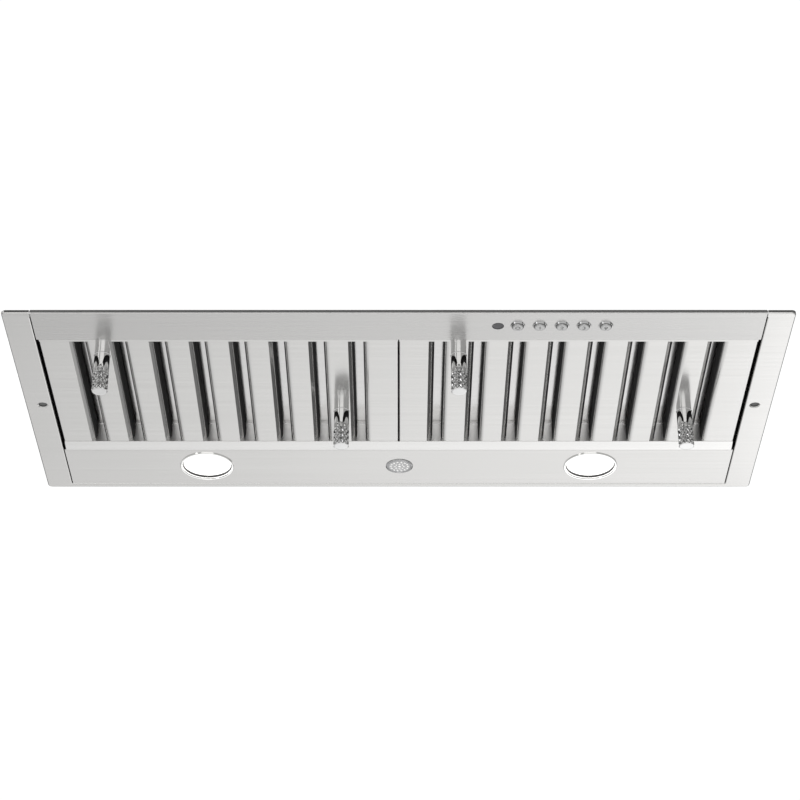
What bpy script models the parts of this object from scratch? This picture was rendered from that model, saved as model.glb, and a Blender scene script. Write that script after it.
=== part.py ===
"""Built-in range hood insert, modelled as the sheet metal assembly that it is.

A stainless canopy with a sloping front hangs in a cabinet by its flange. A front fascia carries
five push buttons, two baffle filters close the middle, and a lamp panel closes the rear. Inside,
one motor turns two fan wheels in their scrolls, which blow up into a rectangular duct collar with
a damper.

Lengths are millimetres, and mesh_from() turns them into metres. X runs along the front, Y to the
rear, Z up. z = 0 is the cabinet's underside, where the flange's upturned lip meets it.
"""

import math

import bmesh
import bpy
from mathutils import Matrix, Vector

MM = 0.001
GAP = 0.3  # between pieces that touch
SHEET = 1.0

# Canopy
WIDTH, DEPTH = 868.0, 390.0
LIP = 4.2
FACE = -LIP  # underside of the visible sheet
CORNER = 5.0
INNER_X = 403.3  # inner faces of the side walls
FRONT_WALL_Y, REAR_WALL_Y = -187.0, 186.8
ROOF = 150.0
FRONT_WALL_TOP, SLOPE_REAR_Y = 3.5, 36.0
FLANGE_HOLE = (414.5, -1.0)
FLANGE_HOLE_R = 5.8
SEAM = 1.0

# Front fascia and controls
FASCIA_REAR_Y = -142.2
HEM = 10.0
BUTTON_Y = -170.5
BUTTON_X0, BUTTON_PITCH, BUTTON_COUNT = 131.0, 24.2, 5
BUTTON_R, BUTTON_PROUD, BUTTON_TOP = 6.3, 3.6, 3.8
SWITCH_TOP = 7.5
BEZEL_R = 8.1
INDICATOR_X, INDICATOR_Y, INDICATOR_R = 109.3, -169.0, 6.4
DIVIDER_Y = -147.5
BUTTON_NAMES = ("off", "speed_1", "speed_2", "speed_3", "lamp")

# Filters
FILTER_EDGE_X = 400.1
FILTER_WIDTH = 399.4
FILTER_FRONT_Y, FILTER_REAR_Y = -140.3, 97.0
FILTER_Z = FACE + SHEET + GAP
HINGE_Y = 84.0
SLOT_COUNT, SLOT_PITCH, SLOT_WIDTH = 8, 44.4, 23.8
FIRST_SLOT = 44.6  # from the filter's left edge to its first slot's centre
SLOT_FRONT_Y, SLOT_REAR_Y = -135.8, 84.5
ROLL = 6.7  # outer radius of the rolled edges along each slot
LEG = 21.0
CAP_HALF, CAP_LOW, CAP_HIGH = 17.0, 7.0, 26.0
TRAY_WALL = 16.0
KNOB_BARS = ((0, -106.0), (6, 15.3))  # bar number and Y of each knob
KNOB_R, KNOB_NECK_R, KNOB_NECK, KNOB_LENGTH = 9.1, 8.8, 15.2, 46.8
STUD_R = 2.5

# Rail and lamp panel
RAIL_FRONT_Y, RAIL_REAR_Y = 84.5, 102.6
RAIL_X = 400.0
PANEL_FRONT_Y, PANEL_REAR_Y = 103.1, 185.8
PANEL_LEG = 24.0
LAMP_X, LAMP_Y = 233.5, 142.0
LAMP_R, LENS_R = 32.5, 28.7
BADGE_X, BADGE_R = 0.7, 16.5

# Blower and duct
FAN_Y, FAN_Z = 106.0, 92.0
FAN_R, FAN_INNER_R, BLADES = 46.0, 38.0, 12
FAN_X = (52.0, 122.0)
SCROLL_X = (46.0, 128.0)
SCROLL_WALL = 1.2
SCROLL_START, SCROLL_END = (0.0, 68.0), (-260.0, 52.0)  # angle in degrees, radius
INLET_R = 38.0
SHAFT_R, MOTOR_R, MOTOR_X = 5.0, 34.0, 40.0
COLLAR_X, COLLAR_Y, COLLAR_HEIGHT = 127.0, (95.0, 177.0), 35.0
COLLAR_WALL = 1.2
COLLAR_SCREWS = [(x, y, 0) for x in (-132.5, 132.5) for y in (90.0, 181.8)]
DAMPER_Y, DAMPER_Z = 101.5, ROOF + 12.0
ROD_R = 2.0


# ---------------------------------------------------------------- meshes


def mesh_from(points, faces):
    """A closed mesh in metres from points in millimetres, with its faces pointing out."""
    build = bmesh.new()
    corners = [build.verts.new(Vector(point) * MM) for point in points]
    for face in faces:
        build.faces.new([corners[i] for i in face])
    bmesh.ops.recalc_face_normals(build, faces=build.faces)
    mesh = bpy.data.meshes.new("shape")
    build.to_mesh(mesh)
    build.free()
    return mesh


def prism(outline, low, high, axis="Z"):
    """An outline drawn across an axis, extruded along it: (y, z) for X, (x, z) for Y, (x, y) for Z."""
    order = {"X": (1, 2, 0), "Y": (0, 2, 1), "Z": (0, 1, 2)}[axis]
    points = []
    for end in (low, high):
        for a, b in outline:
            point = [0.0, 0.0, 0.0]
            for place, value in zip(order, (a, b, end)):
                point[place] = value
            points.append(point)
    n = len(outline)
    sides = [(i, (i + 1) % n, n + (i + 1) % n, n + i) for i in range(n)]
    return mesh_from(points, [tuple(range(n)), tuple(range(n, 2 * n)), *sides])


def block(x, y, z):
    """A box given by its range along each axis."""
    return prism([(x[0], y[0]), (x[1], y[0]), (x[1], y[1]), (x[0], y[1])], z[0], z[1])


def turned(profile, centre, axis="Z", steps=24):
    """A profile of (radius, height) revolved round an axis through centre. It starts and ends on the
    axis, or it is a closed loop away from it."""
    points, rings = [], []
    for radius, height in profile:
        count = steps if radius else 1
        rings.append([len(points) + i for i in range(count)])
        for i in range(count):
            angle = 2 * math.pi * i / steps
            across = (radius * math.cos(angle), radius * math.sin(angle))
            local = {
                "X": (height, *across),
                "Y": (across[1], height, across[0]),
                "Z": (*across, height),
            }[axis]
            points.append(Vector(centre) + Vector(local))
    pairs = list(zip(rings, rings[1:]))
    if profile[0][0]:
        pairs.append((rings[-1], rings[0]))
    faces = []
    for a, b in pairs:
        for i in range(steps):
            j = (i + 1) % steps
            corners = [a[i % len(a)], a[j % len(a)], b[j % len(b)], b[i % len(b)]]
            faces.append(list(dict.fromkeys(corners)))
    return mesh_from(points, faces)


def rod(radius, low, high, centre, axis="Z", steps=24):
    """A plain cylinder between two heights along its axis."""
    return turned([(0, low), (radius, low), (radius, high), (0, high)], centre, axis, steps)


def mirrored_prism(half_section, x, z, front, rear):
    """A bar along Y. Half of its section is given, as (x, z) from its middle, and mirrored."""
    outline = [(x + a, z + b) for a, b in half_section]
    outline += [(x - a, z + b) for a, b in reversed(half_section)]
    return prism(outline, front, rear, "Y")


def rounded(half_x, low_y, high_y, radius, steps=4):
    """A rectangle centred on X with round corners."""
    corners = (
        (half_x - radius, high_y - radius, 0),
        (radius - half_x, high_y - radius, 90),
        (radius - half_x, low_y + radius, 180),
        (half_x - radius, low_y + radius, 270),
    )
    outline = []
    for x, y, start in corners:
        for i in range(steps + 1):
            angle = math.radians(start + 90 * i / steps)
            outline.append((x + radius * math.cos(angle), y + radius * math.sin(angle)))
    return outline


# ---------------------------------------------------------------- objects and materials


def material(name, colour, roughness, metallic=0.0, alpha=1.0):
    """A Principled material with one colour."""
    made = bpy.data.materials.new(name)
    made.use_nodes = True
    shader = made.node_tree.nodes["Principled BSDF"]
    shader.inputs["Base Color"].default_value = (*colour, 1)
    shader.inputs["Roughness"].default_value = roughness
    shader.inputs["Metallic"].default_value = metallic
    shader.inputs["Alpha"].default_value = alpha
    return made


def own_material(name, kind):
    """A piece's own copy of one of the assembly's finishes."""
    colour, roughness, metallic = FINISHES[kind]
    return material(name, colour, roughness, metallic)


FINISHES = {
    "stainless": ((0.62, 0.61, 0.60), 0.32, 1.0),
    "galvanised": ((0.50, 0.51, 0.52), 0.45, 1.0),
    "chrome": ((0.80, 0.80, 0.80), 0.08, 1.0),
    "button": ((0.60, 0.60, 0.60), 0.22, 1.0),
    "lens": ((0.95, 0.95, 0.93), 0.25, 0.0),
    "indicator": ((0.05, 0.05, 0.06), 0.15, 0.0),
    "plastic": ((0.05, 0.05, 0.05), 0.45, 0.0),
    "impeller": ((0.06, 0.06, 0.07), 0.40, 0.0),
    "motor": ((0.35, 0.36, 0.37), 0.40, 1.0),
    "board": ((0.02, 0.20, 0.08), 0.40, 0.0),
    "cable": ((0.04, 0.04, 0.04), 0.50, 0.0),
    "aluminium": ((0.75, 0.75, 0.76), 0.30, 1.0),
}


def place(name, mesh, kind, origin=(0, 0, 0)):
    """Puts a mesh in the scene as a named piece whose own origin is at the given point."""
    origin = Vector(origin) * MM
    mesh.transform(Matrix.Translation(-origin))
    mesh.shade_smooth()
    mesh.set_sharp_from_angle(angle=math.radians(30))
    mesh.materials.clear()
    mesh.materials.append(own_material(name, kind))
    piece = bpy.data.objects.new(name, mesh)
    piece.location = origin
    bpy.context.scene.collection.objects.link(piece)
    return piece


def shaped(base, steps):
    """The mesh that is left after a row of (operation, mesh) steps, each UNION or DIFFERENCE."""
    target = bpy.data.objects.new("target", base)
    bpy.context.scene.collection.objects.link(target)
    tools = []
    for operation, mesh in steps:
        tool = bpy.data.objects.new("tool", mesh)
        bpy.context.scene.collection.objects.link(tool)
        tools.append(tool)
        modifier = target.modifiers.new("shape", "BOOLEAN")
        modifier.operation = operation
        modifier.solver = "EXACT"
        modifier.object = tool
    bpy.context.view_layer.update()
    graph = bpy.context.evaluated_depsgraph_get()
    result = bpy.data.meshes.new_from_object(target.evaluated_get(graph))
    for helper in (target, *tools):
        bpy.data.objects.remove(helper)
    return result


def union(*meshes):
    return [("UNION", mesh) for mesh in meshes]


def cut(*meshes):
    return [("DIFFERENCE", mesh) for mesh in meshes]


def hang(name, point, pieces):
    """Parents pieces to an empty on their joint's axis, without moving them."""
    empty = bpy.data.objects.new(name, None)
    empty.location = Vector(point) * MM
    bpy.context.scene.collection.objects.link(empty)
    bpy.context.view_layer.update()
    for piece in pieces:
        piece.parent = empty
        piece.matrix_parent_inverse = empty.matrix_world.inverted()


def cable(name, route, radius, per_span=6):
    """A cable along a smooth curve through the route's points."""
    points = [Vector(p) for p in route]
    ends = [2 * points[0] - points[1], *points, 2 * points[-1] - points[-2]]
    line = []
    for a, b, c, d in zip(ends, ends[1:], ends[2:], ends[3:]):
        for i in range(per_span):
            t = i / per_span
            line.append(
                0.5 * (2 * b + (c - a) * t + (2 * a - 5 * b + 4 * c - d) * t**2)
                + 0.5 * (3 * b - a - 3 * c + d) * t**3
            )
    line.append(points[-1])
    curve = bpy.data.curves.new(name, "CURVE")
    curve.dimensions = "3D"
    curve.bevel_depth = radius * MM
    curve.bevel_resolution = 2
    curve.use_fill_caps = True
    spline = curve.splines.new("POLY")
    spline.points.add(len(line) - 1)
    for point, where in zip(spline.points, line):
        point.co = (*(where * MM), 1)
    curve.materials.append(own_material(name, "cable"))
    piece = bpy.data.objects.new(name, curve)
    bpy.context.scene.collection.objects.link(piece)


# ---------------------------------------------------------------- canopy


def ceiling(y):
    """Height of the sloping front's outer face at y."""
    rise = (ROOF - FRONT_WALL_TOP) / (SLOPE_REAR_Y - FRONT_WALL_Y + SHEET)
    return FRONT_WALL_TOP + rise * (y - FRONT_WALL_Y + SHEET)


def canopy_body(inset, low):
    """The canopy's section from front to rear, drawn inside its outer faces by inset."""
    front, rear = FRONT_WALL_Y - SHEET + inset, REAR_WALL_Y + SHEET - inset
    drop = inset * math.hypot(1, ceiling(1) - ceiling(0))
    break_y = SLOPE_REAR_Y + (drop - inset) / (ceiling(1) - ceiling(0))
    roof = ROOF - inset
    return [(front, low), (front, ceiling(front) - drop), (break_y, roof), (rear, roof), (rear, low)]


def canopy_shell():
    """Side, rear and front walls, the roof, and the flange round three sides with its upturned lip."""
    outer = rounded(WIDTH / 2, -DEPTH / 2, DEPTH / 2, CORNER)
    inner = rounded(WIDTH / 2 - SHEET, SHEET - DEPTH / 2, DEPTH / 2 - SHEET, CORNER - SHEET)
    wall_x = INNER_X + SHEET
    steps = cut(
        prism(inner, FACE + SHEET, 10),
        block((-INNER_X, INNER_X), (-DEPTH, FRONT_WALL_Y - SHEET), (-20, 10)),
    )
    steps += union(prism(canopy_body(0, FACE + SHEET / 2), -wall_x, wall_x, "X"))
    steps += cut(
        prism(canopy_body(SHEET, -20), -INNER_X, INNER_X, "X"),
        block((-INNER_X, INNER_X), (-DEPTH, FRONT_WALL_Y + 2), (-20, FACE + SHEET + GAP)),
        rod(6.0, ROOF - 5, ROOF + 5, HARNESS_HOLE, steps=12),
    )
    spout_y = (COLLAR_Y[0] + 2, COLLAR_Y[1] - 2)
    for side in (-1, 1):
        spout_x = sorted((side * (SCROLL_X[0] + 1), side * (COLLAR_X - 2)))
        steps += cut(block(spout_x, spout_y, (ROOF - 5, ROOF + 5)))
        hole = (side * FLANGE_HOLE[0], FLANGE_HOLE[1], 0)
        steps += cut(rod(FLANGE_HOLE_R, FACE - 5, FACE + 5, hole, steps=20))
    steps += cut(*[rod(2.1, ROOF - 5, ROOF + 5, where, steps=8) for where in COLLAR_SCREWS])
    place("canopy_shell", shaped(prism(outer, FACE, 0), steps), "stainless")


def front_fascia():
    """The strip that carries the controls, with a lip in front and a hem behind."""
    half = INNER_X - SEAM
    front = -DEPTH / 2
    steps = union(
        block((-half, half), (front, front + SHEET), (FACE + SHEET / 2, 0)),
        block((-half, half), (FASCIA_REAR_Y - SHEET, FASCIA_REAR_Y), (FACE + SHEET / 2, FACE + HEM)),
    )
    for x in button_places():
        steps += cut(rod(7.5, FACE - 5, FACE + 5, (x, BUTTON_Y, 0), steps=16))
    hole = (INDICATOR_X, INDICATOR_Y, 0)
    steps += cut(rod(INDICATOR_R + GAP, FACE - 5, FACE + 5, hole, steps=20))
    base = block((-half, half), (front, FASCIA_REAR_Y), (FACE, FACE + SHEET))
    place("front_fascia", shaped(base, steps), "stainless")


def filter_rail():
    """The slightly sloping rail that the filters' rear edges rest on."""
    outline = [
        (RAIL_FRONT_Y, FACE),
        (RAIL_REAR_Y - 1.4, FACE - 0.9),
        (RAIL_REAR_Y, FACE - 0.2),
        (RAIL_REAR_Y, FACE + PANEL_LEG - 2),
        (RAIL_REAR_Y - SHEET, FACE + PANEL_LEG - 2),
        (RAIL_REAR_Y - SHEET, FACE + 0.4),
        (RAIL_FRONT_Y, FACE + SHEET),
    ]
    place("filter_rail", prism(outline, -RAIL_X, RAIL_X, "X"), "stainless")


def lamp_panel():
    """The rear panel, with its two lamp holes and the leg that closes the lamp compartment."""
    half = INNER_X - SEAM
    base = block((-half, half), (PANEL_FRONT_Y, PANEL_REAR_Y), (FACE, FACE + SHEET))
    leg_y = (PANEL_FRONT_Y, PANEL_FRONT_Y + SHEET)
    steps = union(block((-half, half), leg_y, (FACE + SHEET / 2, FACE + PANEL_LEG)))
    for side in (-1, 1):
        hole = (side * LAMP_X, LAMP_Y, 0)
        steps += cut(rod(LAMP_R - 1.7, FACE - 5, FACE + 5, hole, steps=32))
    place("lamp_panel", shaped(base, steps), "stainless")


# ---------------------------------------------------------------- controls


def button_places():
    return [BUTTON_X0 + BUTTON_PITCH * i for i in range(BUTTON_COUNT)]


def buttons():
    """Each button is a cap that slides up through its bezel into the switch block."""
    for name, x in zip(BUTTON_NAMES, button_places()):
        centre = (x, BUTTON_Y, 0)
        tip = FACE - BUTTON_PROUD
        cap = [(0, tip), (BUTTON_R - 0.8, tip), (BUTTON_R, tip + 0.8), (BUTTON_R, BUTTON_TOP), (0, BUTTON_TOP)]
        place("button_" + name, turned(cap, centre, steps=16), "button", (x, BUTTON_Y, tip))
        bore, sleeve, sleeve_top = BUTTON_R + GAP, 7.2, FACE + 3.6
        ring = [
            (bore, FACE - 1.6),
            (BEZEL_R, FACE - 1.6),
            (BEZEL_R, FACE - GAP),
            (sleeve, FACE - GAP),
            (sleeve, sleeve_top),
            (bore, sleeve_top),
        ]
        place("bezel_" + name, turned(ring, centre, steps=16), "chrome")


def switches():
    """The indicator's light pipe, the switch block, its board, and the divider behind them."""
    floor = FACE + SHEET + GAP
    pipe = rod(INDICATOR_R, FACE, SWITCH_TOP, (INDICATOR_X, INDICATOR_Y, 0), steps=20)
    place("indicator_lens", pipe, "indicator")
    pockets = [rod(7.7, FACE - 5, SWITCH_TOP - 1.2, (x, BUTTON_Y, 0), steps=16) for x in button_places()]
    base = block((119, 240), (-179.5, -161.5), (floor, SWITCH_TOP))
    place("switch_block", shaped(base, cut(*pockets)), "plastic")
    board = block((100, 248), (-176, -150), (SWITCH_TOP + GAP, SWITCH_TOP + GAP + 1.6))
    place("control_board", board, "board")
    half = INNER_X - SEAM
    leg_y, foot_y = (DIVIDER_Y, DIVIDER_Y + SHEET), DIVIDER_Y - 8
    outline = [
        (foot_y, floor),
        (leg_y[1], floor),
        (leg_y[1], ceiling(DIVIDER_Y) - 3),
        (leg_y[0], ceiling(DIVIDER_Y) - 3),
        (leg_y[0], floor + SHEET),
        (foot_y, floor + SHEET),
    ]
    way_through = rod(5.5, -160, -140, (HARNESS_X, 0, HARNESS_Z), "Y", 12)
    strip = prism(outline, -half, half, "X")
    place("wireway_divider", shaped(strip, cut(way_through)), "galvanised")


# ---------------------------------------------------------------- lamps


def lamps():
    """Each lamp is a trim ring, a recessed lens, and a can that holds the LED board."""
    for name, side in (("left", -1), ("right", 1)):
        centre = (side * LAMP_X, LAMP_Y, 0)
        bore = LENS_R + GAP
        ring = [
            (bore, FACE - 1.6),
            (LAMP_R - 0.9, FACE - 1.6),
            (LAMP_R, FACE - GAP),
            (bore + 1.2, FACE - GAP),
            (bore + 1.2, FACE + 9),
            (bore, FACE + 9),
        ]
        place("lamp_ring_" + name, turned(ring, centre, steps=32), "chrome")
        lens = rod(LENS_R, FACE + 4, FACE + 6, centre, steps=32)
        place("lamp_lens_" + name, lens, "lens")
        can = [
            (0, FACE + 42),
            (bore + 1.0, FACE + 42),
            (bore + 1.0, FACE + 9.3),
            (bore - 0.2, FACE + 9.3),
            (bore - 0.2, FACE + 40.8),
            (0, FACE + 40.8),
        ]
        place("lamp_can_" + name, turned(can, centre, steps=24), "aluminium")
        board = rod(26, FACE + 20, FACE + 21.6, centre, steps=24)
        place("led_board_" + name, board, "board")
        lead = [
            (side * 60.5, LAMP_Y, FACE + 12),
            (side * 90, LAMP_Y, FACE + 9),
            (side * 150, LAMP_Y + 6, FACE + 8),
            (side * 186, LAMP_Y + 2, FACE + 14),
            (side * 202.9, LAMP_Y, FACE + 17),
        ]
        cable("lamp_lead_" + name, lead, 1.5)
    driver = block((-60, 60), (120, 165), (FACE + SHEET + GAP, FACE + 25))
    place("led_driver", driver, "plastic")
    centre = (BADGE_X, LAMP_Y, 0)
    badge = [(0, FACE - 1.7), (BADGE_R - 0.8, FACE - 1.7), (BADGE_R, FACE - GAP), (0, FACE - GAP)]
    place("badge_disc", turned(badge, centre, steps=32), "aluminium")


# ---------------------------------------------------------------- filters


def slot_centres(left_edge):
    return [left_edge + FIRST_SLOT + SLOT_PITCH * i for i in range(SLOT_COUNT)]


def rolled_edge(inset, steps=3):
    """Half of a slot's section, from the face up its rolled edge and its leg, as (x, height)."""
    centre, radius = SLOT_WIDTH / 2, ROLL - inset
    arc = []
    for i in range(steps + 1):
        angle = math.radians(90 * i / steps)
        arc.append((centre - radius * math.sin(angle), ROLL - radius * math.cos(angle)))
    return arc


def filter_tray(name, left_edge):
    """The filter's face: a tray with eight slots, each with a rolled edge and a leg up both sides."""
    right_edge = left_edge + FILTER_WIDTH
    low = FILTER_Z
    sheet = (low, low + SHEET)
    base = block((left_edge, right_edge), (FILTER_FRONT_Y, FILTER_REAR_Y), sheet)
    wall = (low + SHEET / 2, low + TRAY_WALL)
    steps = union(
        block((left_edge, left_edge + SHEET), (FILTER_FRONT_Y, SLOT_REAR_Y + 4), wall),
        block((right_edge - SHEET, right_edge), (FILTER_FRONT_Y, SLOT_REAR_Y + 4), wall),
        block((left_edge, right_edge), (FILTER_FRONT_Y, FILTER_FRONT_Y + SHEET), wall),
        block((left_edge, right_edge), (FILTER_REAR_Y - SHEET, FILTER_REAR_Y), (wall[0], low + 6)),
    )
    half = SLOT_WIDTH / 2
    centres = slot_centres(left_edge)
    around = [(half + 0.5, SHEET / 2), *rolled_edge(SHEET), (half - ROLL + SHEET, LEG)]
    through = [(half, -5), *rolled_edge(0), (half - ROLL, LEG + 5)]
    for x in centres:
        steps += union(mirrored_prism(around, x, low, SLOT_FRONT_Y + 0.5, SLOT_REAR_Y - 0.5))
    for x in centres:
        steps += cut(mirrored_prism(through, x, low, SLOT_FRONT_Y, SLOT_REAR_Y))
    for bar, y in KNOB_BARS:
        hole = (centres[bar] + SLOT_PITCH / 2, y, 0)
        steps += cut(rod(STUD_R + GAP, low - 5, low + 5, hole, steps=12))
    return place(name, shaped(base, steps), "stainless")


def filter_baffle(name, left_edge):
    """The upper baffle: an inverted channel over each slot, joined by a wall at each end."""
    low = FILTER_Z
    ends = (SLOT_FRONT_Y + 0.3, SLOT_REAR_Y + 0.8)
    caps = []
    for x in slot_centres(left_edge):
        outline = [
            (x - CAP_HALF, low + CAP_LOW),
            (x - CAP_HALF, low + CAP_HIGH),
            (x + CAP_HALF, low + CAP_HIGH),
            (x + CAP_HALF, low + CAP_LOW),
            (x + CAP_HALF - SHEET, low + CAP_LOW),
            (x + CAP_HALF - SHEET, low + CAP_HIGH - SHEET),
            (x - CAP_HALF + SHEET, low + CAP_HIGH - SHEET),
            (x - CAP_HALF + SHEET, low + CAP_LOW),
        ]
        caps.append(prism(outline, ends[0], ends[1], "Y"))
    across = (left_edge + SHEET + GAP, left_edge + FILTER_WIDTH - SHEET - GAP)
    front = (SLOT_FRONT_Y - 0.2, SLOT_FRONT_Y + 0.8)
    rear = (SLOT_REAR_Y + GAP, SLOT_REAR_Y + GAP + SHEET)
    base = block(across, rear, (low + SHEET + GAP, low + CAP_HIGH - 0.2))
    front_wall = block(across, front, (low + LEG + GAP, low + CAP_HIGH - 0.2))
    return place(name, shaped(base, union(*caps, front_wall)), "stainless")


def filter_knob(name, x, y):
    """A fixed pull knob: a smooth neck, a grip, and the stud that passes through the tray."""
    top = FILTER_Z - GAP
    tip = top - KNOB_LENGTH
    profile = [
        (0, tip),
        (KNOB_R - 1.0, tip),
        (KNOB_R, tip + 1.0),
        (KNOB_R, top - KNOB_NECK),
        (KNOB_NECK_R, top - KNOB_NECK),
        (KNOB_NECK_R, top),
        (STUD_R, top),
        (STUD_R, top + 5.5),
        (0, top + 5.5),
    ]
    return place(name, turned(profile, (x, y, 0), steps=20), "chrome", (x, y, top))


def filters():
    """Two equal filters, side by side, each hinged where its face rests on the rail's front edge."""
    for side, left_edge in (("left", -FILTER_EDGE_X), ("right", FILTER_EDGE_X - FILTER_WIDTH)):
        pieces = [
            filter_tray("filter_tray_" + side, left_edge),
            filter_baffle("filter_baffle_" + side, left_edge),
        ]
        for where, (bar, y) in zip(("front", "rear"), KNOB_BARS):
            x = slot_centres(left_edge)[bar] + SLOT_PITCH / 2
            pieces.append(filter_knob(f"filter_knob_{side}_{where}", x, y))
        hang("filter_hinge_" + side, (left_edge + FILTER_WIDTH / 2, HINGE_Y, FILTER_Z), pieces)


# ---------------------------------------------------------------- blower


def volute(shrink=0.0, over=0.0):
    """The scroll's outline round the fan: down the rear of the outlet, round the spiral, up its front."""
    top = ROOF - SHEET - GAP + over
    (start, first), (end, last) = SCROLL_START, SCROLL_END
    outline = []
    turns = 20
    for i in range(turns + 1):
        angle = math.radians(start + (end - start) * i / turns)
        radius = first + (last - first) * i / turns - shrink
        outline.append((FAN_Y + radius * math.cos(angle), FAN_Z + radius * math.sin(angle)))
    return [(outline[0][0], top), *outline, (outline[-1][0] + shrink, top)]


def mirrored_x(side, low, high):
    """A range along X on one side of the middle, from its distances to the middle."""
    return sorted((side * low, side * high))


def scrolls():
    """Each fan's scroll, closed on the motor's side, and the plate with its inlet on the other."""
    for name, side in (("left", -1), ("right", 1)):
        body = prism(volute(), *mirrored_x(side, *SCROLL_X), "X")
        hollow_x = mirrored_x(side, SCROLL_X[0] + SCROLL_WALL, SCROLL_X[1] + 5)
        hollow = prism(volute(SCROLL_WALL, 5), *hollow_x, "X")
        axis = (0, FAN_Y, FAN_Z)
        eye = rod(20, *mirrored_x(side, SCROLL_X[0] - 5, SCROLL_X[0] + 5), axis, "X", 20)
        place("scroll_" + name, shaped(body, cut(hollow, eye)), "galvanised")
        plate_x = mirrored_x(side, SCROLL_X[1] + GAP, SCROLL_X[1] + GAP + SCROLL_WALL)
        plate = prism(volute(), *plate_x, "X")
        inlet = rod(INLET_R, *mirrored_x(side, SCROLL_X[1] - 5, SCROLL_X[1] + 5), axis, "X", 24)
        place("inlet_plate_" + name, shaped(plate, cut(inlet)), "galvanised")


def fan_wheel(name, side):
    """A wheel of blades between its back disc, beside the motor, and its rim."""
    axis = (0, FAN_Y, FAN_Z)
    near, far = FAN_X
    bore, hub = SHAFT_R + GAP, 12
    profile = [(bore, near), (FAN_R, near), (FAN_R, near + 2), (hub, near + 2), (hub, near + 18), (bore, near + 18)]
    disc = turned([(radius, side * x) for radius, x in profile], axis, "X")
    steps = []
    for i in range(BLADES):
        blade = block(mirrored_x(side, near + 1, far - 1), (FAN_INNER_R, FAN_R - 1), (-0.8, 0.8))
        blade.transform(Matrix.Rotation(2 * math.pi * (i + 0.5) / BLADES, 4, "X"))
        blade.transform(Matrix.Translation(Vector(axis) * MM))
        steps += union(blade)
    rim = [(FAN_INNER_R - 1, far - 3), (FAN_R, far - 3), (FAN_R, far), (FAN_INNER_R - 1, far)]
    steps += union(turned([(radius, side * x) for radius, x in rim], axis, "X"))
    place(name, shaped(disc, steps), "impeller", axis)


def motor():
    """The double-ended motor between the fans, its strap, its shaft, and its capacitor."""
    axis = (0, FAN_Y, FAN_Z)
    end = MOTOR_X
    profile = [(0, -end), (20, -end), (MOTOR_R, 8 - end), (MOTOR_R, end - 8), (20, end), (0, end)]
    bore = rod(SHAFT_R + GAP, -60, 60, axis, "X", 16)
    place("motor_body", shaped(turned(profile, axis, "X"), cut(bore)), "motor")
    place("motor_shaft", rod(SHAFT_R, 4 - FAN_X[1], FAN_X[1] - 4, axis, "X", 16), "motor", axis)
    inside, outside = MOTOR_R + GAP, MOTOR_R + 2.3
    ring = turned([(inside, -10), (outside, -10), (outside, 10), (inside, 10)], axis, "X")
    post_z = (FAN_Z + MOTOR_R + 1, ROOF - SHEET - GAP)
    post = block((-9.5, 9.5), (FAN_Y - 14, FAN_Y + 14), post_z)
    place("motor_strap", shaped(ring, union(post)), "galvanised")
    place("capacitor", rod(15, 60, 112, (0, 18, 108), "X", 20), "aluminium")


# ---------------------------------------------------------------- duct


def duct():
    """The collar, its screws, and the damper's leaf, which hangs on a rod and opens upwards."""
    low = ROOF + GAP
    flange_x, flange_y = COLLAR_X + 11, (COLLAR_Y[0] - 10, COLLAR_Y[1] + 9.3)
    tube = block((-COLLAR_X, COLLAR_X), COLLAR_Y, (low + 0.5, ROOF + COLLAR_HEIGHT))
    bore_x = COLLAR_X - COLLAR_WALL
    bore_y = (COLLAR_Y[0] + COLLAR_WALL, COLLAR_Y[1] - COLLAR_WALL)
    bore = block((-bore_x, bore_x), bore_y, (ROOF - 5, ROOF + COLLAR_HEIGHT + 5))
    holes = [rod(2.1, ROOF - 5, ROOF + 5, where, steps=8) for where in COLLAR_SCREWS]
    base = block((-flange_x, flange_x), flange_y, (low, low + COLLAR_WALL))
    place("duct_collar", shaped(base, union(tube) + cut(bore, *holes)), "galvanised")
    head = low + COLLAR_WALL + GAP
    for number, where in enumerate(COLLAR_SCREWS, 1):
        end = ROOF - SHEET - 4
        screw = [(0, end), (1.8, end), (1.8, head), (3.6, head), (3.0, head + 2.2), (0, head + 2.2)]
        place(f"collar_screw_{number}", turned(screw, where, steps=8), "chrome")
    axis = (0, DAMPER_Y, DAMPER_Z)
    place("damper_rod", rod(ROD_R, GAP - bore_x, bore_x - GAP, axis, "X", 12), "chrome")
    leaf_y = (DAMPER_Y + 6, bore_y[1] - 1)
    leaf = block((2 - bore_x, bore_x - 2), leaf_y, (DAMPER_Z - 0.5, DAMPER_Z + 0.5))
    steps = []
    for x in (-90, 78):
        steps += union(block((x, x + 12), (DAMPER_Y - 3.3, DAMPER_Y + 7), (DAMPER_Z - 3.3, DAMPER_Z + 3.3)))
    steps += cut(rod(ROD_R + GAP, -100, 100, axis, "X", 12))
    place("damper_leaf", shaped(leaf, steps), "aluminium", axis)


# ---------------------------------------------------------------- wiring


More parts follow.
